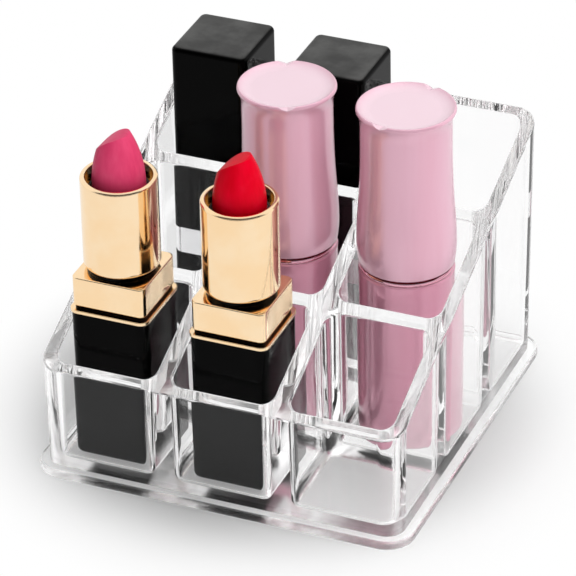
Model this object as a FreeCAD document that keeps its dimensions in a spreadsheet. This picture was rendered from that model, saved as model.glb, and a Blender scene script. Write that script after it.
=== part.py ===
import FreeCAD, Part
import math
import os
import re

import Sketcher

Vector = FreeCAD.Vector

# Driving dimensions in millimetres and degrees. A lipstick's heights count from the floor of its cell.
SIZES = {
    # Clear holder: three rows of three cells under one sloping rim
    "cell_width": 26.7,
    "cell_depth": 27.3,
    "wall": 3.2,
    "cell_corner": 3.6,
    "floor_thickness": 3.5,
    "floor_round": 2.0,
    "front_height": 29.1,
    "back_height": 68.3,
    "rim_stock": 6.0,
    "body_corner": 4.6,
    "draft_angle": 0.8,
    "rim_round": 0.6,
    "foot_ledge": 2.5,
    "foot_thickness": 2.4,
    "foot_corner": 7.0,
    "foot_round": 0.8,
    # Twist mechanism that every lipstick holds
    "bullet_radius": 6.35,
    "bullet_height": 14.2,
    "bullet_shoulder": 1.6,
    "bullet_side_bow": 29.0,
    "bullet_tip_radius": 3.1,
    "bullet_slant": 43.0,
    "bullet_slant_bow": 13.5,
    "bullet_turn": -2.0,
    "bullet_edge": 0.7,
    "bullet_travel": 16.0,
    "cup_radius": 6.65,
    "cup_wall": 0.6,
    "cup_height": 9.0,
    "cup_bottom": 1.0,
    "lug_radius": 0.75,
    "sleeve_wall": 0.5,
    "sleeve_foot": 2.0,
    "sleeve_floor": 2.5,
    "spiral_wall": 0.6,
    "spiral_pitch": 12.8,
    "spiral_land": 2.2,
    "track_play": 0.3,
    "turning_play": 0.1,
    "seat_play": 0.05,
    "tube_reach": 3.0,
    # Open lipsticks: square black case, gold collar and gold tube
    "case_side": 19.8,
    "case_height": 39.0,
    "case_taper": 0.4,
    "case_corner": 2.2,
    "case_round": 1.6,
    "ledge_thickness": 0.8,
    "ledge_overhang": 0.15,
    "shadow_gap": 0.9,
    "gap_inset": 0.4,
    "collar_side": 18.6,
    "collar_height": 7.7,
    "collar_corner": 1.6,
    "collar_round": 0.3,
    "neck_height": 1.2,
    "neck_inset": 0.8,
    "gold_tube_radius": 9.2,
    "gold_tube_round": 1.0,
    "gold_rim_round": 0.7,
    "gold_mouth_round": 0.3,
    "open_cup_rise": 6.0,
    "red_shift": 0.6,
    # Closed black lipsticks: square base, bare silver band and square cap
    "black_side": 19.8,
    "black_base_height": 21.9,
    "black_corner": 1.8,
    "black_round": 1.2,
    "band_height": 7.2,
    "band_inset": 0.12,
    "black_cap_height": 49.5,
    "black_cap_wall": 1.15,
    "black_cap_top": 1.6,
    "black_cap_round": 1.35,
    "black_cup_rise": 5.2,
    "black_set_back": 0.6,
    "left_black_shift": 0.1,
    "right_black_shift": 0.7,
    "inner_tube_wall": 0.4,
    # Closed pink lipsticks: round base, seam ring and flared cap
    "pink_foot_radius": 11.2,
    "pink_seam_radius": 11.5,
    "pink_base_height": 44.3,
    "pink_base_round": 1.6,
    "seam_line": 0.25,
    "seam_bead": 1.0,
    "seam_groove": 0.55,
    "seam_groove_depth": 0.8,
    "seam_spigot": 2.4,
    "pink_cap_height": 41.0,
    "pink_cap_wall": 1.5,
    "pink_cap_top": 2.6,
    "pink_hip_bulge": 0.4,
    "pink_hip_height": 5.0,
    "pink_sway_height": 12.0,
    "pink_waist_radius": 10.85,
    "pink_waist_drop": 9.5,
    "pink_flare_drop": 4.4,
    "pink_lip_radius": 11.8,
    "pink_lip_edge": 0.8,
    "pink_dish_depth": 1.0,
    "pink_dish_radius": 8.4,
    "pink_dish_bow": 6.0,
    "pink_cup_sink": 4.3,
    "notch_width": 9.4,
    "notch_depth": 1.0,
    "notch_length": 3.4,
    "left_notch_turn": -67.0,
    "right_notch_turn": -101.0,
}

doc = FreeCAD.newDocument("vanity_organizer")
sheet = doc.addObject("Spreadsheet::Sheet", "Sizes")
for row, (size_name, size_value) in enumerate(SIZES.items(), start=1):
    sheet.set(f"A{row}", size_name)
    sheet.set(f"B{row}", str(size_value))
    sheet.setAlias(f"B{row}", size_name)
doc.recompute()

# Sizes worked out from the driving ones
PITCH_X = "(cell_width + wall)"
PITCH_Y = "(cell_depth + wall)"
BODY_WIDTH = "(3 * cell_width + 4 * wall)"
BODY_DEPTH = "(3 * cell_depth + 4 * wall)"
BODY_DRAFT = "((back_height - foot_thickness) * tan(draft_angle))"
FOOT_WIDTH = f"({BODY_WIDTH} - 2 * {BODY_DRAFT} + 2 * foot_ledge)"
FOOT_DEPTH = f"({BODY_DEPTH} - 2 * {BODY_DRAFT} + 2 * foot_ledge)"
SLEEVE_INNER = "(cup_radius + turning_play)"
SLEEVE_OUTER = f"({SLEEVE_INNER} + sleeve_wall)"
SPIRAL_INNER = f"({SLEEVE_OUTER} + turning_play)"
SPIRAL_OUTER = f"({SPIRAL_INNER} + spiral_wall)"
SEAT_BORE = f"({SPIRAL_OUTER} + seat_play)"
INNER_TUBE_RADIUS = f"({SEAT_BORE} + inner_tube_wall)"
TRACK_WIDTH = "(2 * lug_radius + 2 * track_play)"
LUG_HEIGHT = "(cup_height / 2)"
SLEEVE_RISE = "(cup_height + bullet_travel)"
LEDGE_TOP = "(case_height + ledge_thickness)"
COLLAR_LOW = f"({LEDGE_TOP} + shadow_gap)"
COLLAR_TOP = f"({COLLAR_LOW} + collar_height)"
NECK_TOP = f"({COLLAR_TOP} + neck_height)"
OPEN_CUP_LOW = "(case_height + open_cup_rise)"
BLACK_CUP_LOW = "(black_base_height + black_cup_rise)"
PINK_CUP_LOW = "(pink_base_height - pink_cup_sink)"
BAND_TOP = "(black_base_height + band_height)"
SEAM_TOP = "(pink_base_height + seam_line + seam_bead + seam_groove)"
HIP_RADIUS = "(pink_seam_radius + pink_hip_bulge)"
FULL_TURN = 360


def bound(text):
    """The expression with each size's name turned into its address in the sheet."""
    return re.sub(r"[a-z_]+", lambda word: f"Sizes.{word[0]}" if word[0] in SIZES else word[0], text)


def value(text):
    """The number that an expression of sheet sizes gives."""
    return float(sheet.evalExpression(bound(text)))


def new_body(label):
    body = doc.addObject("PartDesign::Body", label)
    body.Label = label
    return body


def place(piece, x="0", y="0", z="0", turn="0"):
    """Binds the place of a piece, and its turn about its own upright axis, to the sheet."""
    piece.Placement = FreeCAD.Placement(Vector(), FreeCAD.Rotation(Vector(0, 0, 1), value(turn)))
    for axis, text in zip("xyz", (x, y, z)):
        piece.setExpression(f"Placement.Base.{axis}", bound(text))
    if turn != "0":
        piece.setExpression("Placement.Rotation.Angle", bound(turn))


def pin(sketch, edge, end, text, axis):
    """Holds one end of an edge at a distance from the sketch's origin along X or Y."""
    distance = value(text)
    origin = (-1, 1)
    point = (edge, end)
    if abs(distance) < 1e-7:
        across = -2 if axis == "X" else -1
        sketch.addConstraint(Sketcher.Constraint("PointOnObject", *point, across))
        return
    ends = (*origin, *point) if distance > 0 else (*point, *origin)
    index = sketch.addConstraint(Sketcher.Constraint(f"Distance{axis}", *ends, abs(distance)))
    sign = "" if distance > 0 else "-"
    sketch.setExpression(f"Constraints[{index}]", bound(f"{sign}({text})"))


def arc_between(start, end, radius):
    """A short arc from start to end: it turns left for a positive radius and right for a negative one."""
    chord = end - start
    rise = math.sqrt(max(radius ** 2 - (chord.Length / 2) ** 2, 0))
    left = Vector(-chord.y, chord.x, 0).normalize()
    centre = (start + end) * 0.5 + left * math.copysign(rise, radius)
    circle = Part.Circle(centre, Vector(0, 0, 1), abs(radius))
    first, last = (start, end) if radius > 0 else (end, start)
    angles = [math.atan2(point.y - centre.y, point.x - centre.x) for point in (first, last)]
    return Part.ArcOfCircle(circle, *angles)


def new_sketch(body, name, plane, lift="0"):
    sketch = body.newObject("Sketcher::SketchObject", name)
    support = next(item for item in body.Origin.OriginFeatures if item.Role == plane)
    sketch.AttachmentSupport = [(support, "")]
    sketch.MapMode = "FlatFace"
    sketch.setExpression("AttachmentOffset.Base.z", bound(lift))
    return sketch


def outline(body, name, plane, corners, lift="0"):
    """A closed outline bound to the sheet. A corner's third entry is the radius of the arc that leaves it."""
    sketch = new_sketch(body, name, plane, lift)
    points = [Vector(value(corner[0]), value(corner[1]), 0) for corner in corners]
    ends = []
    for index, corner in enumerate(corners):
        start = points[index]
        end = points[(index + 1) % len(points)]
        if len(corner) == 2:
            sketch.addGeometry(Part.LineSegment(start, end))
            ends.append((1, 2))
        else:
            radius = value(corner[2])
            sketch.addGeometry(arc_between(start, end, radius))
            ends.append((1, 2) if radius > 0 else (2, 1))
    for index, corner in enumerate(corners):
        after = (index + 1) % len(corners)
        sketch.addConstraint(Sketcher.Constraint("Coincident", index, ends[index][1], after, ends[after][0]))
        pin(sketch, index, ends[index][0], corner[0], "X")
        pin(sketch, index, ends[index][0], corner[1], "Y")
        if len(corner) == 3:
            radius = value(corner[2])
            bend = sketch.addConstraint(Sketcher.Constraint("Radius", index, abs(radius)))
            sketch.setExpression(f"Constraints[{bend}]", bound(f"abs({corner[2]})"))
    return sketch


def rounded_outline(body, name, width, depth, corner, x="0", y="0", lift="0"):
    """A rectangle about (x, y) with rounded corners, on the ground plane raised by lift."""
    sides = []
    for across, along in ((1, -1), (1, 1), (-1, 1), (-1, -1)):
        far_x = f"({x}) + ({across}) * ({width}) / 2"
        far_y = f"({y}) + ({along}) * ({depth}) / 2"
        near_x = f"{far_x} - ({across}) * ({corner})"
        near_y = f"{far_y} - ({along}) * ({corner})"
        leaves_side = across == -along
        arc_start = (near_x, far_y) if leaves_side else (far_x, near_y)
        arc_end = (far_x, near_y) if leaves_side else (near_x, far_y)
        sides.append((*arc_start, corner))
        sides.append(arc_end)
    return outline(body, name, "XY_Plane", sides, lift)


def circle_outline(body, name, radius, plane="XY_Plane", lift="0", y="0"):
    """A circle on the sketch's upright axis."""
    sketch = new_sketch(body, name, plane, lift)
    sketch.addGeometry(Part.Circle(Vector(0, value(y), 0), Vector(0, 0, 1), value(radius)))
    pin(sketch, 0, 3, "0", "X")
    pin(sketch, 0, 3, y, "Y")
    index = sketch.addConstraint(Sketcher.Constraint("Radius", 0, value(radius)))
    sketch.setExpression(f"Constraints[{index}]", bound(radius))
    return sketch


def pad(body, name, sketch, length, taper="0", side="One side"):
    feature = body.newObject("PartDesign::Pad", name)
    feature.Profile = sketch
    feature.SideType = side
    feature.setExpression("Length", bound(length))
    feature.setExpression("TaperAngle", bound(taper))
    doc.recompute()
    return feature


def pocket(body, name, sketch, length, taper="0", upward=False, side="One side"):
    """Cuts away the outline downward, or upward, and makes sure that it cut something."""
    before = body.Shape.Volume
    feature = body.newObject("PartDesign::Pocket", name)
    feature.Profile = sketch
    feature.SideType = side
    feature.Reversed = upward
    feature.setExpression("Length", bound(length))
    feature.setExpression("TaperAngle", bound(taper))
    doc.recompute()
    if not body.Shape.Volume < before:
        raise RuntimeError(f"{body.Label}: {name} cuts nothing")
    return feature


def revolve(body, name, sketch):
    feature = body.newObject("PartDesign::Revolution", name)
    feature.Profile = sketch
    feature.ReferenceAxis = (sketch, ["V_Axis"])
    feature.Angle = FULL_TURN
    doc.recompute()
    return feature


def edge_names(shape, wanted):
    """The names of the edges that a test accepts."""
    return [f"Edge{number}" for number, edge in enumerate(shape.Edges, start=1) if wanted(edge)]


def soften(body, name, wanted, size):
    """Rounds the body's edges that a test accepts."""
    base = body.Tip
    feature = body.newObject("PartDesign::Fillet", name)
    feature.Base = (base, edge_names(base.Shape, wanted))
    feature.setExpression("Radius", bound(size))
    doc.recompute()
    return feature


def at_height(text):
    """A test for edges that lie wholly at one height."""
    height = value(text)
    return lambda edge: abs(edge.BoundBox.ZMin - height) < 1e-4 and abs(edge.BoundBox.ZMax - height) < 1e-4


def ring(label, low, high, inner, outer):
    """A plain round ring or tube about its own axis."""
    body = new_body(label)
    corners = [(inner, low), (outer, low), (outer, high), (inner, high)]
    revolve(body, "turned", outline(body, "section", "XZ_Plane", corners))
    return body


def holder():
    """One clear moulding: a foot plate, a body that leans out, nine drafted cells and a sloping rim."""
    body = new_body("holder")
    plate = rounded_outline(body, "foot_outline", FOOT_WIDTH, FOOT_DEPTH, "foot_corner")
    pad(body, "foot", plate, "foot_thickness")
    soften(body, "foot_rounding", lambda edge: True, "foot_round")
    low_width = f"({BODY_WIDTH} - 2 * {BODY_DRAFT})"
    low_depth = f"({BODY_DEPTH} - 2 * {BODY_DRAFT})"
    # The body starts inside the foot plate, so that the two are one piece
    root = "foot_thickness / 2"
    walls = rounded_outline(body, "body_outline", low_width, low_depth, "body_corner", lift=root)
    block_top = "(back_height + rim_stock)"
    pad(body, "body_block", walls, f"{block_top} - {root}", "draft_angle")
    # The front left cell is cut first, from above the rim, and the other eight repeat it
    widening = "2 * rim_stock * tan(draft_angle)"
    first_cell = rounded_outline(
        body,
        "cell_outline",
        f"(cell_width + {widening})",
        f"(cell_depth + {widening})",
        "cell_corner",
        f"-{PITCH_X}",
        f"-{PITCH_Y}",
        block_top,
    )
    cell = pocket(body, "cell", first_cell, f"{block_top} - floor_thickness", "-draft_angle")
    cells = body.newObject("PartDesign::LinearPattern", "cells")
    cells.Originals = [cell]
    cells.Direction = (first_cell, ["H_Axis"])
    cells.Direction2 = (first_cell, ["V_Axis"])
    cells.Mode = "Extent"
    cells.Mode2 = "Extent"
    cells.Occurrences = 3
    cells.Occurrences2 = 3
    cells.setExpression("Length", bound(f"2 * {PITCH_X}"))
    cells.setExpression("Length2", bound(f"2 * {PITCH_Y}"))
    body.Tip = cells
    doc.recompute()
    soften(body, "floor_rounding", at_height("floor_thickness"), "floor_round")
    # One plane slopes over all wall tops, from the low front to the high back
    slope = f"((back_height - front_height) / {BODY_DEPTH})"
    reach = f"({BODY_DEPTH})"
    middle = "((back_height + front_height) / 2)"
    wedge = [
        (f"-{reach}", f"{middle} - {slope} * {reach}"),
        (reach, f"{middle} + {slope} * {reach}"),
        (reach, f"{middle} + 2 * {slope} * {reach}"),
        (f"-{reach}", f"{middle} + 2 * {slope} * {reach}"),
    ]
    over_rim = outline(body, "slope", "YZ_Plane", wedge)
    pocket(body, "sloping_rim", over_rim, f"2 * {BODY_WIDTH}", side="Symmetric")
    rise = value(slope)
    half_height = value(middle)

    def on_rim(edge):
        points = [edge.valueAt(edge.FirstParameter), edge.valueAt(edge.LastParameter)]
        return all(abs(point.z - half_height - rise * point.y) < 1e-3 for point in points)

    soften(body, "rim_rounding", on_rim, "rim_round")
    return body


def square_block(body, side, height, corner, low="0", taper="0"):
    pad(body, "block", rounded_outline(body, "plan", side, side, corner, lift=low), height, taper)


def seat_bore(body, top, depth, radius=SEAT_BORE):
    """A round bore from a top face down."""
    pocket(body, "bore", circle_outline(body, "bore_circle", radius, lift=top), depth)


def slotted_sleeve(label, cup_low):
    """A guide sleeve on a foot in the base. Its two upright slots keep the cup from turning."""
    body = new_body(label)
    top = f"({cup_low} + {SLEEVE_RISE})"
    foot_top = "(sleeve_floor + sleeve_foot)"
    foot_radius = f"({SEAT_BORE} - seat_play)"
    section = [
        (SLEEVE_INNER, "sleeve_floor"),
        (foot_radius, "sleeve_floor"),
        (foot_radius, foot_top),
        (SLEEVE_OUTER, foot_top),
        (SLEEVE_OUTER, top),
        (SLEEVE_INNER, top),
    ]
    revolve(body, "turned", outline(body, "section", "XZ_Plane", section))
    slot_low = f"({cup_low} + {LUG_HEIGHT} - {TRACK_WIDTH} / 2)"
    slot_high = f"({slot_low} + bullet_travel + {TRACK_WIDTH})"
    half = f"({TRACK_WIDTH} / 2)"
    slot = [(f"-{half}", slot_low), (half, slot_low), (half, slot_high), (f"-{half}", slot_high)]
    reach = f"(4 * {SLEEVE_OUTER})"
    pocket(body, "slots", outline(body, "slot", "YZ_Plane", slot), reach, side="Symmetric")
    return body


def spiral_shape():
    """A thin sleeve with two helical tracks, a half turn apart, that lift the cup's lugs as it turns."""
    inner = value(SPIRAL_INNER)
    outer = value(SPIRAL_OUTER)
    height = value("bullet_travel + 2 * lug_radius + 2 * spiral_land")
    sleeve = Part.makeCylinder(outer, height).cut(Part.makeCylinder(inner, height))
    overrun = value("lug_radius + track_play")
    pitch = value("spiral_pitch")
    radius = (inner + outer) / 2
    lead = math.degrees(overrun / radius)
    climb = value("bullet_travel") + 2 * overrun / radius / (2 * math.pi) * pitch
    half = value(TRACK_WIDTH) / 2
    reach = value("spiral_wall")
    section = Part.makePolygon([
        Vector(radius - reach, 0, -half),
        Vector(radius + reach, 0, -half),
        Vector(radius + reach, 0, half),
        Vector(radius - reach, 0, half),
        Vector(radius - reach, 0, -half),
    ])
    track = Part.Wire(Part.makeHelix(pitch, climb, radius)).makePipeShell([section], True, True)
    low = value("lug_radius + spiral_land") - lead / FULL_TURN * pitch
    for start in (0, FULL_TURN / 2):
        cutter = track.copy()
        cutter.rotate(Vector(), Vector(0, 0, 1), start - lead)
        cutter.translate(Vector(0, 0, low))
        sleeve = sleeve.cut(cutter)
    return sleeve


def spiral(label, shape):
    piece = doc.addObject("Part::Feature", label)
    piece.Label = label
    piece.Shape = shape
    return piece


def carrier_cup(label):
    """The cup that holds the bullet, with two lugs that ride in the tracks."""
    body = new_body(label)
    pad(body, "block", circle_outline(body, "plan", "cup_radius"), "cup_height")
    lug_reach = f"(2 * {SPIRAL_OUTER} - 2 * turning_play)"
    lug = circle_outline(body, "lug", "lug_radius", "YZ_Plane", y=LUG_HEIGHT)
    pad(body, "lugs", lug, lug_reach, side="Symmetric")
    seat_bore(body, "cup_height", "cup_height - cup_bottom", "cup_radius - cup_wall")
    return body


def bullet(label):
    """A round stick with a drawn-in top and one slanted cut, on a shank that fills the cup."""
    body = new_body(label)
    shank = "(cup_radius - cup_wall - seat_play)"
    top = "(cup_height + bullet_height)"
    shoulder = "(cup_height + bullet_shoulder)"
    section = [
        ("0", "cup_bottom"),
        (shank, "cup_bottom"),
        (shank, "cup_height"),
        ("bullet_radius", "cup_height"),
        ("bullet_radius", shoulder, "bullet_side_bow"),
        ("bullet_tip_radius", top),
        ("0", top),
    ]
    revolve(body, "turned", outline(body, "section", "XZ_Plane", section))
    # The cut bows from just outside the far side up to the tip, and rounds the tip off
    edge = "(bullet_tip_radius - bullet_edge)"
    far = "(bullet_radius + bullet_edge)"
    low = f"({top} - ({edge} + {far}) * tan(bullet_slant))"
    clear = "(2 * bullet_radius)"
    slant = [
        (f"-{far}", low, "-bullet_slant_bow"),
        (edge, top, "-1.5 * bullet_edge"),
        ("bullet_tip_radius + bullet_edge", f"{top} - bullet_edge"),
        (clear, f"{top} - bullet_edge"),
        (clear, f"{top} + bullet_height"),
        (f"-{clear}", f"{top} + bullet_height"),
        (f"-{clear}", low),
    ]
    cut = outline(body, "slant_line", "XZ_Plane", slant)
    pocket(body, "slant", cut, f"2 * {clear}", side="Symmetric")
    return body


def mechanism(name, x, y, cup_low, raised, shape):
    """Sleeve, spiral, cup and bullet of one lipstick. A raised bullet starts at the top of its travel."""
    floor = "floor_thickness"
    lift = f"{cup_low} + {floor}" + (" + bullet_travel" if raised else "")
    turns = f"(-{FULL_TURN} * bullet_travel / spiral_pitch)" if raised else "0"
    spiral_low = f"{floor} + {cup_low} + {LUG_HEIGHT} - lug_radius - spiral_land"
    place(slotted_sleeve(f"{name}_slotted_sleeve", cup_low), x, y, floor)
    place(spiral(f"{name}_spiral", shape), x, y, spiral_low, turns)
    place(carrier_cup(f"{name}_cup"), x, y, lift)
    place(bullet(f"{name}_bullet"), x, y, lift, "bullet_turn")


def open_lipstick(name, x, y, shape):
    """A lipstick without its cap: case, ledge, washer, square collar, neck and round tube, bullet raised."""
    floor = "floor_thickness"
    case = new_body(f"{name}_case")
    low_side = "case_side - 2 * case_height * tan(case_taper)"
    square_block(case, low_side, "case_height", "case_corner", taper="case_taper")
    soften(case, "foot_rounding", at_height("0"), "case_round")
    seat_bore(case, "case_height", "case_height - sleeve_floor")
    place(case, x, y, floor)

    ledge = new_body(f"{name}_ledge")
    square_block(ledge, "case_side + 2 * ledge_overhang", "ledge_thickness", "case_corner", "case_height")
    seat_bore(ledge, LEDGE_TOP, "ledge_thickness")
    place(ledge, x, y, floor)

    # The collar turns on the washer, which is set back under it as a dark line
    washer = new_body(f"{name}_washer")
    square_block(washer, "collar_side - 2 * gap_inset", "shadow_gap", "collar_corner - gap_inset", LEDGE_TOP)
    seat_bore(washer, COLLAR_LOW, "shadow_gap")
    place(washer, x, y, floor)

    collar = new_body(f"{name}_collar")
    square_block(collar, "collar_side", "collar_height", "collar_corner", COLLAR_LOW)
    soften(collar, "edge_rounding", lambda edge: edge.BoundBox.ZLength < 1e-4, "collar_round")
    seat_bore(collar, COLLAR_TOP, "collar_height")
    place(collar, x, y, floor)

    neck = ring(f"{name}_neck", COLLAR_TOP, NECK_TOP, SEAT_BORE, "gold_tube_radius - neck_inset")
    place(neck, x, y, floor)

    top = f"({OPEN_CUP_LOW} + {SLEEVE_RISE} + tube_reach)"
    tube = ring(f"{name}_tube", NECK_TOP, top, SEAT_BORE, "gold_tube_radius")
    at_top = at_height(top)
    at_foot = at_height(NECK_TOP)
    wall_middle = value(f"({SEAT_BORE} + gold_tube_radius) / 2")

    def outside(edge):
        return edge.BoundBox.XMax > wall_middle

    soften(tube, "mouth_rounding", lambda edge: at_top(edge) and not outside(edge), "gold_mouth_round")
    soften(tube, "rim_rounding", lambda edge: at_top(edge) and outside(edge), "gold_rim_round")
    soften(tube, "foot_rounding", lambda edge: at_foot(edge) and outside(edge), "gold_tube_round")
    place(tube, x, y, floor)
    mechanism(name, x, y, OPEN_CUP_LOW, True, shape)


def inner_tube(name, x, y, low, cup_low):
    """The thin metal tube round the spiral, which turns with it."""
    top = f"({cup_low} + {SLEEVE_RISE} + tube_reach)"
    place(ring(f"{name}_tube", low, top, SEAT_BORE, INNER_TUBE_RADIUS), x, y, "floor_thickness")


def black_lipstick(name, x, y, shape):
    """A closed lipstick: square base, bare silver band and square cap."""
    floor = "floor_thickness"
    base = new_body(f"{name}_base")
    square_block(base, "black_side", "black_base_height", "black_corner")
    soften(base, "foot_rounding", at_height("0"), "black_round")
    seat_bore(base, "black_base_height", "black_base_height - sleeve_floor")
    place(base, x, y, floor)

    band = new_body(f"{name}_band")
    square_block(band, "black_side - 2 * band_inset", "band_height", "black_corner", "black_base_height")
    seat_bore(band, BAND_TOP, "band_height", f"{INNER_TUBE_RADIUS} + turning_play")
    place(band, x, y, floor)

    cap = new_body(f"{name}_cap")
    square_block(cap, "black_side", "black_cap_height", "black_corner", BAND_TOP)
    cap_top = f"({BAND_TOP} + black_cap_height)"
    soften(cap, "top_rounding", at_height(cap_top), "black_cap_round")
    inside = "(black_side - 2 * black_cap_wall)"
    mouth = rounded_outline(cap, "mouth", inside, inside, "black_corner", lift=BAND_TOP)
    pocket(cap, "hollow", mouth, "black_cap_height - black_cap_top", upward=True)
    place(cap, x, y, floor)
    inner_tube(name, x, y, "black_base_height", BLACK_CUP_LOW)
    mechanism(name, x, y, BLACK_CUP_LOW, False, shape)


def lip_notches(cap, top):
    """Two shallow notches across from each other in a round lip. Each grows deeper and wider outward."""
    outer = "pink_lip_radius"
    inner = f"({outer} - notch_length)"
    sections = []
    for name, lift, share in (("notch_start", inner, "0.5"), ("notch_end", f"{outer} + notch_length", "1.5")):
        half = f"({share} * notch_width / 2)"
        deep = f"({top} - {share} * notch_depth)"
        over = f"({top} + {share} * notch_depth)"
        sides = [("0", deep), (half, over), (f"-{half}", over)]
        sections.append(outline(cap, name, "YZ_Plane", sides, lift))
    notch = cap.newObject("PartDesign::SubtractiveLoft", "notch")
    notch.Profile = sections[0]
    notch.Sections = [sections[1]]
    notch.Ruled = True
    pair = cap.newObject("PartDesign::PolarPattern", "notches")
    pair.Originals = [notch]
    pair.Axis = (cap.Origin.OriginFeatures[2], [""])
    pair.Angle = FULL_TURN
    pair.Occurrences = 2
    cap.Tip = pair
    doc.recompute()


def drift(across, along):
    """The radius of an arc that starts or ends upright and moves so far across over so far along."""
    return f"((({across})^2 + ({along})^2) / (2 * ({across})))"


def pink_lipstick(name, x, y, notch_turn, shape):
    """A closed round lipstick: tapered base, seam ring and a waisted cap with a flared, dished top."""
    floor = "floor_thickness"
    base = new_body(f"{name}_base")
    round_off = "pink_base_round"
    section = [
        ("0", "0"),
        (f"pink_foot_radius - {round_off}", "0", round_off),
        ("pink_foot_radius", round_off),
        ("pink_seam_radius", "pink_base_height - seam_line"),
        ("pink_seam_radius - seam_line", "pink_base_height"),
        ("0", "pink_base_height"),
    ]
    revolve(base, "turned", outline(base, "section", "XZ_Plane", section))
    seat_bore(base, "pink_base_height", "pink_base_height - sleeve_floor")
    place(base, x, y, floor)

    cap_inner = "(pink_seam_radius - pink_cap_wall)"
    seam = new_body(f"{name}_seam_ring")
    spigot = f"({cap_inner} - turning_play)"
    seam_inner = f"({INNER_TUBE_RADIUS} + turning_play)"
    spigot_top = f"({SEAM_TOP} + seam_spigot)"
    # A thin line under a round bead, and a dark groove between the bead and the cap
    bead_low = "(pink_base_height + seam_line)"
    bead_high = f"({bead_low} + seam_bead)"
    bead_edge = "(pink_seam_radius - seam_line)"
    line = f"({bead_edge} - seam_line)"
    groove = "(pink_seam_radius - seam_groove_depth)"
    section = [
        (seam_inner, "pink_base_height"),
        (line, "pink_base_height"),
        (line, bead_low),
        (bead_edge, bead_low, "seam_bead"),
        (bead_edge, bead_high),
        (groove, bead_high),
        (groove, SEAM_TOP),
        (spigot, SEAM_TOP),
        (spigot, spigot_top),
        (seam_inner, spigot_top),
    ]
    revolve(seam, "turned", outline(seam, "section", "XZ_Plane", section))
    place(seam, x, y, floor)

    cap = new_body(f"{name}_cap")
    cap_top = f"({SEAM_TOP} + pink_cap_height)"
    # The side swells to a hip, sways in to the waist, stands upright there and flares to the lip
    hip = f"({SEAM_TOP} + pink_hip_height)"
    sway = f"({SEAM_TOP} + pink_sway_height)"
    waist = f"({cap_top} - pink_waist_drop)"
    flare = f"({cap_top} - pink_flare_drop)"
    tuck = f"({HIP_RADIUS} - pink_waist_radius)"
    sway_in = f"({tuck} * ({sway} - {hip}) / ({waist} - {hip}))"
    sway_radius = f"({HIP_RADIUS} - {sway_in})"
    lip_low = f"({cap_top} - pink_lip_edge)"
    dish = f"({cap_top} - pink_dish_depth)"
    hip_bow = drift("pink_hip_bulge", "pink_hip_height")
    sway_bow = drift(sway_in, f"{sway} - {hip}")
    waist_bow = drift(f"{tuck} - {sway_in}", f"{waist} - {sway}")
    flare_bow = drift("pink_lip_radius - pink_waist_radius", f"{lip_low} - {flare}")
    inside_top = f"({cap_top} - pink_cap_top)"
    neck_inner = "(pink_waist_radius - pink_cap_wall)"
    section = [
        (cap_inner, SEAM_TOP),
        ("pink_seam_radius", SEAM_TOP, hip_bow),
        (HIP_RADIUS, hip, sway_bow),
        (sway_radius, sway, f"-{waist_bow}"),
        ("pink_waist_radius", waist),
        ("pink_waist_radius", flare, f"-{flare_bow}"),
        ("pink_lip_radius", lip_low, "pink_lip_edge"),
        ("pink_lip_radius - pink_lip_edge / 2", cap_top, "-pink_dish_bow"),
        ("pink_dish_radius", dish),
        ("0", dish),
        ("0", inside_top),
        (neck_inner, inside_top),
        (neck_inner, f"{inside_top} - pink_waist_drop"),
        (cap_inner, spigot_top),
    ]
    revolve(cap, "turned", outline(cap, "section", "XZ_Plane", section))
    lip_notches(cap, cap_top)
    place(cap, x, y, floor, notch_turn)
    inner_tube(name, x, y, "pink_base_height", PINK_CUP_LOW)
    mechanism(name, x, y, PINK_CUP_LOW, False, shape)


holder()
track_sleeve = spiral_shape()
FRONT_ROW = f"-{PITCH_Y}"
BACK_ROW = f"{PITCH_Y} + black_set_back"
open_lipstick("rose_lipstick", f"-{PITCH_X}", FRONT_ROW, track_sleeve)
open_lipstick("red_lipstick", "red_shift", FRONT_ROW, track_sleeve)
black_lipstick("left_black_lipstick", f"left_black_shift - {PITCH_X}", BACK_ROW, track_sleeve)
black_lipstick("right_black_lipstick", "right_black_shift", BACK_ROW, track_sleeve)
pink_lipstick("left_pink_lipstick", "0", "0", "left_notch_turn", track_sleeve)
pink_lipstick("right_pink_lipstick", PITCH_X, "0", "right_notch_turn", track_sleeve)
doc.recompute()

piece_types = ("PartDesign::Body", "Part::Feature")
pieces = [item for item in doc.Objects if item.TypeId in piece_types]
for item in doc.Objects:
    if "Invalid" in item.State or "Error" in item.State:
        raise RuntimeError(f"{item.Label} could not be worked out")
for piece in pieces:
    if piece.Shape.isNull() or not piece.Shape.isValid():
        raise RuntimeError(f"{piece.Label} has no valid shape")
    if len(piece.Shape.Solids) != 1:
        raise RuntimeError(f"{piece.Label} isn't one solid")

os.makedirs("parts", exist_ok=True)
for piece in pieces:
    piece.Shape.exportStep(f"parts/{piece.Label}.step")
print(len(pieces), "pieces written")
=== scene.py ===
import math

import bpy
from mathutils import Matrix, Vector

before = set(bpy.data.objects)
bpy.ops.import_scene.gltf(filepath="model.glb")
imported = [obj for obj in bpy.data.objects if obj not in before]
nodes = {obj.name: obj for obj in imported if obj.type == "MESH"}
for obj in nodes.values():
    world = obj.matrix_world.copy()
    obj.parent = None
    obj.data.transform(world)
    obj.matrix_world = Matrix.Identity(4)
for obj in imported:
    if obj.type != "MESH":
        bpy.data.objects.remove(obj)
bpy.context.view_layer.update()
scene = bpy.context.scene

# Node trees

FACING_UP = (0.75, 1.0)
SOFT_EDGE_SAMPLES = 6
SCREEN_GAMMA = 2.2


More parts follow.
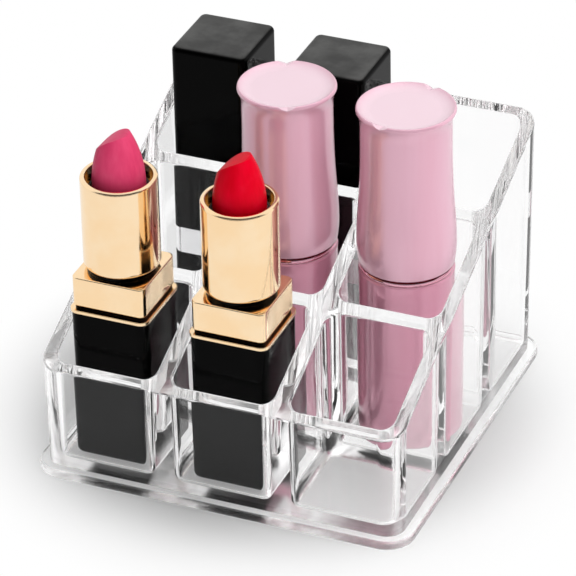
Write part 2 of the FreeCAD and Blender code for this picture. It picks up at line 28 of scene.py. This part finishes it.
class Level:
    """A value on a surface. Arithmetic on it adds Math nodes to the tree that it belongs to."""

    def __init__(self, tree, socket):
        self.tree = tree
        self.socket = socket

    def maths(self, operation, first, second):
        return self.tree.node("ShaderNodeMath", {"operation": operation}, {0: first, 1: second})

    def __add__(self, other):
        return self.maths("ADD", self, other)

    def __rsub__(self, other):
        return self.maths("SUBTRACT", other, self)

    def __mul__(self, other):
        return self.maths("MULTIPLY", self, other)

    __radd__ = __add__
    __rmul__ = __mul__

    def at_most(self, other):
        return self.maths("MINIMUM", self, other)

    def at_least(self, other):
        return self.maths("MAXIMUM", self, other)

    def between(self, low, high):
        """0 where the value is under low, 1 where it is over high, with a soft step between them."""
        sockets = {"Value": self, "From Min": low, "From Max": high}
        return self.tree.node("ShaderNodeMapRange", {"interpolation_type": "SMOOTHSTEP"}, sockets)


class Tree:
    """A node tree, with one method that adds a node."""

    def __init__(self, owner):
        owner.use_nodes = True
        self.tree = owner.node_tree
        self.tree.nodes.clear()

    def node(self, kind, settings=None, sockets=None, out=0):
        made = self.tree.nodes.new(kind)
        for name, value in (settings or {}).items():
            setattr(made, name, value)
        for name, value in (sockets or {}).items():
            self.join(made.inputs[name], value)
        return Level(self, made.outputs[out]) if made.outputs else made

    def join(self, socket, value):
        if isinstance(value, Level):
            self.tree.links.new(value.socket, socket)
        else:
            socket.default_value = value

    def mix(self, factor, first, second):
        """A colour between two colours."""
        sockets = {0: factor, 6: first, 7: second}
        return self.node("ShaderNodeMix", {"data_type": "RGBA"}, sockets, out=2)

    def vector_maths(self, operation, first, second=(0, 0, 0)):
        """A number worked out from vectors."""
        sockets = {0: first, 1: second}
        return self.node("ShaderNodeVectorMath", {"operation": operation}, sockets, out="Value")

    def upright(self, vector):
        """How far a vector points up."""
        return self.node("ShaderNodeSeparateXYZ", None, {0: vector}, out="Z")

    def coordinates(self, kind):
        return self.node("ShaderNodeTexCoord", out=kind)

    def place(self, stretch=(1, 1, 1)):
        """The piece's own coordinates, in metres, stretched along each axis."""
        sockets = {"Vector": self.coordinates("Object"), "Scale": stretch}
        return self.node("ShaderNodeMapping", None, sockets)

    def cloud(self, size, stretch=(1, 1, 1), detail=3.0):
        """Soft noise from 0 to 1, whose patches are about so many metres across."""
        sockets = {"Vector": self.place(stretch), "Scale": 1 / size, "Detail": detail}
        return self.node("ShaderNodeTexNoise", None, sockets)

    def height(self):
        """The height on the part, in metres."""
        return self.upright(self.place())

    def along(self):
        """From 0 at the foot of the piece to 1 at its top."""
        return self.upright(self.coordinates("Generated"))

    def upward(self):
        """1 on what faces up, and 0 on what doesn't."""
        return self.upright(self.coordinates("Normal")).between(*FACING_UP)

    def ray(self, fact):
        """What is known of the ray that meets the surface."""
        return self.node("ShaderNodeLightPath", out=fact)


class Finish(Tree):
    """A procedural finish around one Principled shader."""

    def __init__(self, name, **steady):
        self.material = bpy.data.materials.new(name)
        super().__init__(self.material)
        self.shader = self.tree.nodes.new("ShaderNodeBsdfPrincipled")
        self.output = self.tree.nodes.new("ShaderNodeOutputMaterial")
        self.tree.links.new(self.shader.outputs[0], self.output.inputs["Surface"])
        for word, value in steady.items():
            self.shader.inputs[word.replace("_", " ")].default_value = value

    def colour(self, value):
        self.join(self.shader.inputs["Base Color"], value)

    def roughness(self, value):
        self.join(self.shader.inputs["Roughness"], value)

    def lacquer(self, value):
        self.join(self.shader.inputs["Coat Weight"], value)

    def relief(self, level, depth, soft_edge=0.0):
        """Bumps of so many metres from low to high, and edges that look rounded off by so many metres."""
        sockets = {"Height": level, "Distance": depth}
        if soft_edge:
            settings = {"samples": SOFT_EDGE_SAMPLES}
            sockets["Normal"] = self.node("ShaderNodeBevel", settings, {"Radius": soft_edge})
        self.join(self.shader.inputs["Normal"], self.node("ShaderNodeBump", None, sockets))

    def lets_light_in(self, colour):
        """Lamps shine through the surface, and lose a little at each face."""
        solid = Level(self, self.shader.outputs[0])
        film = self.node("ShaderNodeBsdfTransparent", None, {"Color": colour})
        sockets = {0: self.ray("Is Shadow Ray"), 1: solid, 2: film}
        surface = self.node("ShaderNodeMixShader", None, sockets)
        self.join(self.output.inputs["Surface"], surface)


def tint(red, green, blue):
    """A colour as a screen shows it, from 0 to 255, turned into light."""
    return tuple((shown / 255) ** SCREEN_GAMMA for shown in (red, green, blue)) + (1.0,)


def grey(light):
    """A grey of so much light, from 0 to 1."""
    return (light, light, light, 1.0)


# Finishes, with sizes in metres

UNDERSIDE = (0.0002, 0.0008)
SEAM_BEAD_TOP = 0.00125
SEAM_GROOVE_HEIGHT = 0.00055
SEAM_BLEND = 0.0001
# Painted shade on the wax where the tube shades its foot: the share of the height over which it fades
# out, and how dark it makes the colour.
WAX_FOOT = (0.35, 0.7)
WAX_FOOT_SHADE = 0.76


def clear_moulding():
    """Clear plastic: faint flow ripples from the mould, dust in a few patches and a frosted underside."""
    finish = Finish("clear_plastic", Transmission_Weight=1.0, IOR=1.49, Specular_Tint=grey(0.25))
    clean = tint(254, 254, 254)
    dusty = tint(249, 250, 250)
    ripples = finish.cloud(size=0.012, detail=1.0)
    dust = finish.cloud(size=0.02, detail=4.0).between(0.62, 0.8)
    underside = 1 - finish.height().between(*UNDERSIDE)
    finish.colour(finish.mix(dust, clean, dusty))
    finish.roughness(0.002 + 0.02 * dust + 0.25 * underside)
    finish.relief(ripples, depth=0.00004)
    finish.lets_light_in(grey(0.85))
    return finish


def black_gloss():
    """Black lacquer with a thin haze of finger marks, and on what faces up a painted sheen that lightens
    every top, with dust patches over it.
    """
    finish = Finish("black_gloss", IOR=1.45, Specular_IOR_Level=0.05)
    clean = tint(8, 8, 8)
    smeared = tint(12, 12, 12)
    # Grey of the dust, which is also the painted sheen on every top.
    dusty = tint(92, 92, 91)
    smudge = finish.cloud(size=0.009, detail=4.0).between(0.5, 0.75)
    pits = finish.cloud(size=0.0006, detail=1.0)
    # Painted sheen: every upward face gets at least half of the grey, standing in for light on the tops;
    # the noise over that is dust.
    dust = 0.5 + 0.5 * finish.cloud(size=0.007, detail=5.0).between(0.3, 0.75)
    lacquer = finish.mix(smudge, clean, smeared)
    finish.colour(finish.mix(dust * finish.upward(), lacquer, dusty))
    finish.roughness(0.12 + 0.08 * smudge)
    finish.relief(pits, depth=0.000004, soft_edge=0.0005)
    return finish


def polished_gold():
    """Pale gold plate, drawn upright, in slightly warmer and paler patches."""
    finish = Finish("polished_gold", Metallic=1.0)
    warm = tint(253, 219, 174)
    pale = tint(254, 226, 187)
    lines = finish.cloud(size=0.0006, stretch=(1, 1, 0.02))
    patches = finish.cloud(size=0.01)
    finish.colour(finish.mix(patches.between(0.35, 0.7), warm, pale))
    finish.roughness(0.05 + 0.06 * lines + 0.04 * patches)
    finish.relief(lines, depth=0.000003, soft_edge=0.0003)
    return finish


def brushed_silver():
    """Silver plate, brushed round the piece."""
    finish = Finish("brushed_silver", Metallic=1.0)
    grooved = tint(236, 236, 238)
    bright = tint(248, 248, 249)
    lines = finish.cloud(size=0.0004, stretch=(0.03, 0.03, 1))
    finish.colour(finish.mix(lines, grooved, bright))
    finish.roughness(0.1 + 0.12 * lines)
    finish.relief(lines, depth=0.000004)
    return finish


def rose_metal(bead_top):
    """A rose plated ring: a bright bead, and painted shade, wine red, in the groove above it."""
    finish = Finish("rose_metal", Metallic=1.0)
    deep = tint(216, 142, 164)
    bright = tint(240, 190, 204)
    painted_groove_shade = tint(128, 28, 42)
    groove_top = bead_top + SEAM_GROOVE_HEIGHT
    lines = finish.cloud(size=0.0005, stretch=(0.03, 0.03, 1))
    over_bead = finish.height().between(bead_top, bead_top + SEAM_BLEND)
    over_groove = finish.height().between(groove_top, groove_top + SEAM_BLEND)
    bead = finish.mix(lines, deep, bright)
    # Painted shade: the groove between the bead and the cap is painted wine red, where shade falls.
    finish.colour(finish.mix(over_bead * (1 - over_groove), bead, painted_groove_shade))
    finish.roughness(0.08 + 0.12 * lines)
    finish.relief(lines, depth=0.000003)
    return finish


def drawn_brass():
    """Plain brass of the spiral sleeves, with drawing lines and a dull bloom."""
    finish = Finish("drawn_brass", Metallic=1.0)
    bright = tint(196, 154, 92)
    dull = tint(158, 118, 66)
    lines = finish.cloud(size=0.0007, stretch=(1, 1, 0.03))
    bloom = finish.cloud(size=0.006, detail=4.0).between(0.5, 0.7)
    finish.colour(finish.mix(bloom, bright, dull))
    finish.roughness(0.22 + 0.12 * lines + 0.15 * bloom)
    finish.relief(lines, depth=0.000006)
    return finish


def white_moulding():
    """White plastic of the closed lipsticks' cups and sleeves, lightly grained by the mould."""
    glow_depth = (0.001, 0.001, 0.001)
    finish = Finish("white_moulding", IOR=1.5, Subsurface_Weight=0.1, Subsurface_Radius=glow_depth)
    shaded = tint(226, 224, 220)
    pale = tint(238, 237, 234)
    grain = finish.cloud(size=0.0005, detail=2.0)
    finish.colour(finish.mix(finish.cloud(size=0.008), shaded, pale))
    finish.roughness(0.32 + 0.12 * grain)
    finish.relief(grain, depth=0.00001)
    return finish


def satin_pink(name, deep, pale, least_roughness):
    """Pearl pink under clear lacquer: fine flakes, slow streaks along the draw, and painted light that
    makes every top paler, as if lit from above.
    """
    finish = Finish(name, Metallic=0.25, Coat_Roughness=0.08, Coat_IOR=1.4)
    # Painted light: every upward face is painted paler, as if lit from above.
    painted_top_light = tint(247, 222, 232)
    pearl = tint(255, 232, 240)
    streaks = finish.cloud(size=0.005, stretch=(1, 1, 0.1))
    flakes = finish.cloud(size=0.0003, detail=1.0).between(0.5, 0.8)
    body = finish.mix(streaks.between(0.3, 0.7), tint(*deep), tint(*pale))
    body_with_painted_top_light = finish.mix(0.8 * finish.upward(), body, painted_top_light)
    finish.colour(finish.mix(0.03 * flakes, body_with_painted_top_light, pearl))
    finish.roughness(least_roughness + 0.06 * streaks)
    finish.lacquer(0.4 + 0.15 * streaks)
    finish.relief(streaks, depth=0.00001, soft_edge=0.0004)
    return finish


def wax(name, deep, bright, pale):
    """Lipstick wax: satin, with faint casting streaks, a pale bloom and painted shade that darkens its
    foot, where the tube shades it.
    """
    finish = Finish(name, IOR=1.45, Specular_IOR_Level=0.06)
    painted_shade_tone = tint(*(WAX_FOOT_SHADE * shown for shown in deep))
    streaks = finish.cloud(size=0.0022, stretch=(1, 1, 0.2))
    bloom = finish.cloud(size=0.004).between(0.5, 0.85)
    # Painted shade: darker towards the foot of the bullet, inside the tube.
    foot = 1 - finish.along().between(*WAX_FOOT)
    body = finish.mix(streaks.between(0.25, 0.75), tint(*deep), tint(*bright))
    body_with_painted_shade = finish.mix(0.7 * foot, body, painted_shade_tone)
    finish.colour(finish.mix(0.15 * bloom, body_with_painted_shade, tint(*pale)))
    finish.roughness(0.32 + 0.12 * streaks)
    finish.relief(streaks, depth=0.00002)
    return finish


def lowest_point(piece):
    return min(corner[2] for corner in piece.bound_box)


seam_foot = lowest_point(nodes["left_pink_lipstick_seam_ring"])
clear = clear_moulding()
black = black_gloss()
gold = polished_gold()
silver = brushed_silver()
rose_ring = rose_metal(seam_foot + SEAM_BEAD_TOP)
brass = drawn_brass()
white = white_moulding()
pink_lid = satin_pink("satin_pink_lid", (233, 177, 196), (236, 184, 203), least_roughness=0.22)
pink_foot = satin_pink("satin_pink_foot", (219, 146, 170), (224, 155, 178), least_roughness=0.14)
rose_wax = wax("rose_wax", (226, 67, 109), (237, 82, 123), (243, 132, 156))
red_wax = wax("red_wax", (222, 2, 34), (236, 5, 44), (240, 54, 84))

FINISH_OF_PIECE = {
    "open": {
        "case": black, "ledge": gold, "washer": black, "slotted_sleeve": black, "collar": gold,
        "neck": black, "tube": gold, "spiral": brass, "cup": black,
    },
    "black": {
        "base": black, "band": silver, "slotted_sleeve": white, "tube": silver,
        "spiral": brass, "cup": white, "bullet": red_wax, "cap": black,
    },
    "pink": {
        "base": pink_foot, "seam_ring": rose_ring, "slotted_sleeve": white, "tube": silver,
        "spiral": brass, "cup": white, "bullet": rose_wax, "cap": pink_lid,
    },
}
LIPSTICKS = {
    "rose_lipstick": ("open", {"bullet": rose_wax}),
    "red_lipstick": ("open", {"bullet": red_wax}),
    "left_black_lipstick": ("black", {}),
    "right_black_lipstick": ("black", {}),
    "left_pink_lipstick": ("pink", {}),
    "right_pink_lipstick": ("pink", {}),
}


def paint(piece, finish):
    """The finish on a piece, in the slot that it came with."""
    if piece.material_slots:
        for held in piece.material_slots:
            held.material = finish.material
    else:
        piece.data.materials.append(finish.material)


paint(nodes["holder"], clear)
for lipstick, (kind, own) in LIPSTICKS.items():
    for piece, finish in {**FINISH_OF_PIECE[kind], **own}.items():
        paint(nodes[f"{lipstick}_{piece}"], finish)

# Camera, in metres and millimetres of lens

CAMERA_TARGET = Vector((-0.00354, 0.00643, 0.030))
CAMERA_AZIMUTH = math.radians(23.14)
CAMERA_ELEVATION = math.radians(31.63)
CAMERA_ROLL = math.radians(-1.22)
CAMERA_DISTANCE = 1.0098
CAMERA_LENS = 259.9
CAMERA_SENSOR = 36.0
CAMERA_NEAR = 0.01
FRONT = Vector((math.sin(CAMERA_AZIMUTH), -math.cos(CAMERA_AZIMUTH), 0))
UP = Vector((0, 0, 1))


def studio_camera():
    """The view of the photograph: from the right of the front, looking down."""
    back = math.cos(CAMERA_ELEVATION) * FRONT + math.sin(CAMERA_ELEVATION) * UP
    right = UP.cross(back).normalized()
    level = Matrix((right, back.cross(right), back)).transposed()
    turned = level @ Matrix.Rotation(CAMERA_ROLL, 3, "Z")
    data = bpy.data.cameras.new("camera")
    data.lens = CAMERA_LENS
    data.sensor_width = CAMERA_SENSOR
    data.clip_start = CAMERA_NEAR
    camera = bpy.data.objects.new("camera", data)
    scene.collection.objects.link(camera)
    camera.matrix_world = Matrix.Translation(CAMERA_TARGET + CAMERA_DISTANCE * back) @ turned.to_4x4()
    scene.camera = camera


# Studio, in metres

WHITE = grey(1.0)
DARK = grey(0.05)
ROOM_LIGHT = grey(0.3)
FLOOR_REACH = 3.0
FLOOR_LEVEL = -0.0001
FLOOR_CORNERS = ((-1, -1), (1, -1), (1, 1), (-1, 1))
# Painted shadow: the paper is painted in the darker shade near the part and turns to the pale one between
# the two radii below.
SHADED_PAPER = tint(206, 206, 206)
PALE_PAPER = tint(246, 246, 246)
PAINTED_SHADOW_FADES = (0.045, 0.075)
SHADOW_ENDS = (0.048, 0.085)
SHADOW_GLOW = 0.07
CLEAR_GLOW = 0.2
GLOSS_GLOW = 0.8
LONG_WAY = (3.5, 6.5)
FLOOR_DARKENS_AHEAD = (0.16, 0.26)
FLAG_SIDES = (0.15, 0.45)
FLAG_FOOT = (0.02, 0.12)
FLAG_HEAD = (0.7, 0.9)
FLAG_THROUGH_CLEAR = grey(0.8)
LAMP_WIDTH = 0.7
LAMP_TARGET = Vector((0, 0, 0.04))
LAMPS = {
    "key_lamp": (Vector((0.3, 0.25, 0.95)), 6.0),
    "front_lamp": (Vector((0.55, -0.5, 0.5)), 3.0),
}
MOST_BOUNCES = 64
CLEAR_BOUNCES = 48


def ray_kinds(tree):
    """1 for what the camera sees straight, in a gloss and through clear plastic, each by itself."""
    sharp = 1 - tree.ray("Diffuse Depth").at_most(1)
    straight = sharp * tree.ray("Is Camera Ray")
    through = sharp * tree.ray("Is Transmission Ray")
    mirrored = sharp * tree.ray("Is Glossy Ray") * (1 - through)
    return straight, mirrored, through


def paper_finish():
    """Pale paper that is white to the eye, keeps the shadow, has a painted shadow near the part and goes
    dark far in front, in a gloss.
    """
    material = bpy.data.materials.new("floor_paper")
    tree = Tree(material)
    far = tree.vector_maths("LENGTH", tree.place())
    ahead = tree.vector_maths("DOT_PRODUCT", tree.place(), FRONT)
    straight, mirrored, through = ray_kinds(tree)
    # Painted shadow on the paper, darker near the part.
    shade = tree.mix(far.between(*PAINTED_SHADOW_FADES), SHADED_PAPER, PALE_PAPER)
    paper = tree.node("ShaderNodeBsdfDiffuse", None, {"Color": shade})
    past_shadow = SHADOW_GLOW + (1 - SHADOW_GLOW) * far.between(*SHADOW_ENDS)
    wandered = CLEAR_GLOW + (1 - CLEAR_GLOW) * tree.ray("Ray Depth").between(*LONG_WAY)
    near_part = (straight + through) * past_shadow
    share = near_part.at_least(through * wandered).at_least(GLOSS_GLOW * mirrored)
    bright = tree.mix(mirrored * ahead.between(*FLOOR_DARKENS_AHEAD), WHITE, DARK)
    glow = tree.node("ShaderNodeEmission", None, {"Color": bright, "Strength": 1.0})
    surface = tree.node("ShaderNodeMixShader", None, {0: share, 1: paper, 2: glow})
    tree.node("ShaderNodeOutputMaterial", None, {"Surface": surface})
    return material


def studio_floor():
    mesh = bpy.data.meshes.new("floor")
    corners = [(FLOOR_REACH * x, FLOOR_REACH * y, FLOOR_LEVEL) for x, y in FLOOR_CORNERS]
    mesh.from_pydata(corners, [], [(0, 1, 2, 3)])
    mesh.materials.append(paper_finish())
    floor = bpy.data.objects.new("floor", mesh)
    scene.collection.objects.link(floor)


def studio_walls():
    """White to the eye, with a dark flag in front that the clear plastic and the gloss mirror."""
    world = bpy.data.worlds.new("studio")
    scene.world = world
    tree = Tree(world)
    direction = tree.coordinates("Generated")
    rise = tree.upright(direction)
    front = tree.vector_maths("DOT_PRODUCT", direction, FRONT)
    flag = front.between(*FLAG_SIDES) * rise.between(*FLAG_FOOT) * (1 - rise.between(*FLAG_HEAD))
    straight, mirrored, through = ray_kinds(tree)
    flagged = tree.mix(flag, WHITE, tree.mix(through, DARK, FLAG_THROUGH_CLEAR))
    seen = tree.mix(straight, flagged, WHITE)
    light = tree.mix(straight.at_least(mirrored).at_least(through), ROOM_LIGHT, seen)
    surface = tree.node("ShaderNodeBackground", None, {"Color": light, "Strength": 1.0})
    tree.node("ShaderNodeOutputWorld", None, {"Surface": surface})


def soft_lamp(name, location, power):
    """A square lamp that lights the part and stays out of its gloss."""
    lamp = bpy.data.lights.new(name, "AREA")
    lamp.shape = "SQUARE"
    lamp.size = LAMP_WIDTH
    lamp.energy = power
    held = bpy.data.objects.new(name, lamp)
    scene.collection.objects.link(held)
    turn = (LAMP_TARGET - location).to_track_quat("-Z", "Y")
    held.matrix_world = Matrix.Translation(location) @ turn.to_matrix().to_4x4()
    held.visible_glossy = False


studio_camera()
studio_floor()
studio_walls()
for lamp_name, (location, power) in LAMPS.items():
    soft_lamp(lamp_name, location, power)
scene.view_settings.view_transform = "Standard"
scene.cycles.max_bounces = MOST_BOUNCES
scene.cycles.glossy_bounces = CLEAR_BOUNCES
scene.cycles.transmission_bounces = CLEAR_BOUNCES
